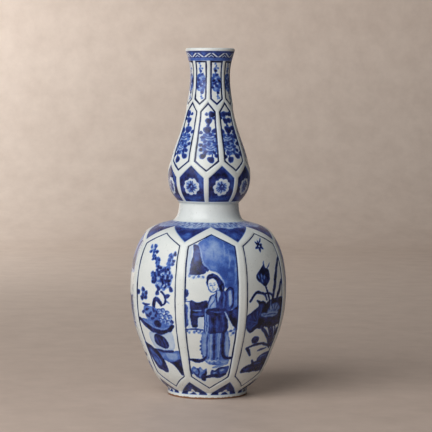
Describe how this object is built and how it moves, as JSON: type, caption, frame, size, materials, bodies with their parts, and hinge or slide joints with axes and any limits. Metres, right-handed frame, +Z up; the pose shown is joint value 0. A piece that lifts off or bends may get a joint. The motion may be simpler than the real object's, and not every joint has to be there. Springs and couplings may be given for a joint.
{
  "type": "double gourd vase",
  "caption": "Tall porcelain double gourd vase with moulded octagonal panels, a plain waist collar, a slender neck and a flared mouth, painted in blue under a clear glaze.",
  "frame": {"origin": "on the axis, at the plane that the foot ring stands on", "axes": "+Z up along the vase's axis, -Y out of the middle of the front panel"},
  "size_m": [0.1216, 0.1216, 0.27],
  "materials": {
    "glazed_body": "clear gloss glaze over blue painting",
    "foot": "clear gloss glaze, wiped from the bare foot edge",
    "slip": "fired slip under the same glaze"
  },
  "bodies": {
    "root": {"foot_ring": "foot", "base_disc": "glazed_body", "lower_bulb_bowl": "glazed_body", "lower_bulb_shoulder": "glazed_body", "waist_collar": "glazed_body", "upper_bulb_cup": "glazed_body", "upper_bulb_cone": "glazed_body", "neck_and_mouth": "glazed_body", "slip_foot": "slip", "slip_base": "slip", "slip_belly": "slip", "slip_shoulder": "slip", "slip_waist": "slip", "slip_upper_bulb": "slip", "slip_neck": "slip"}
  },
  "joints": []
}
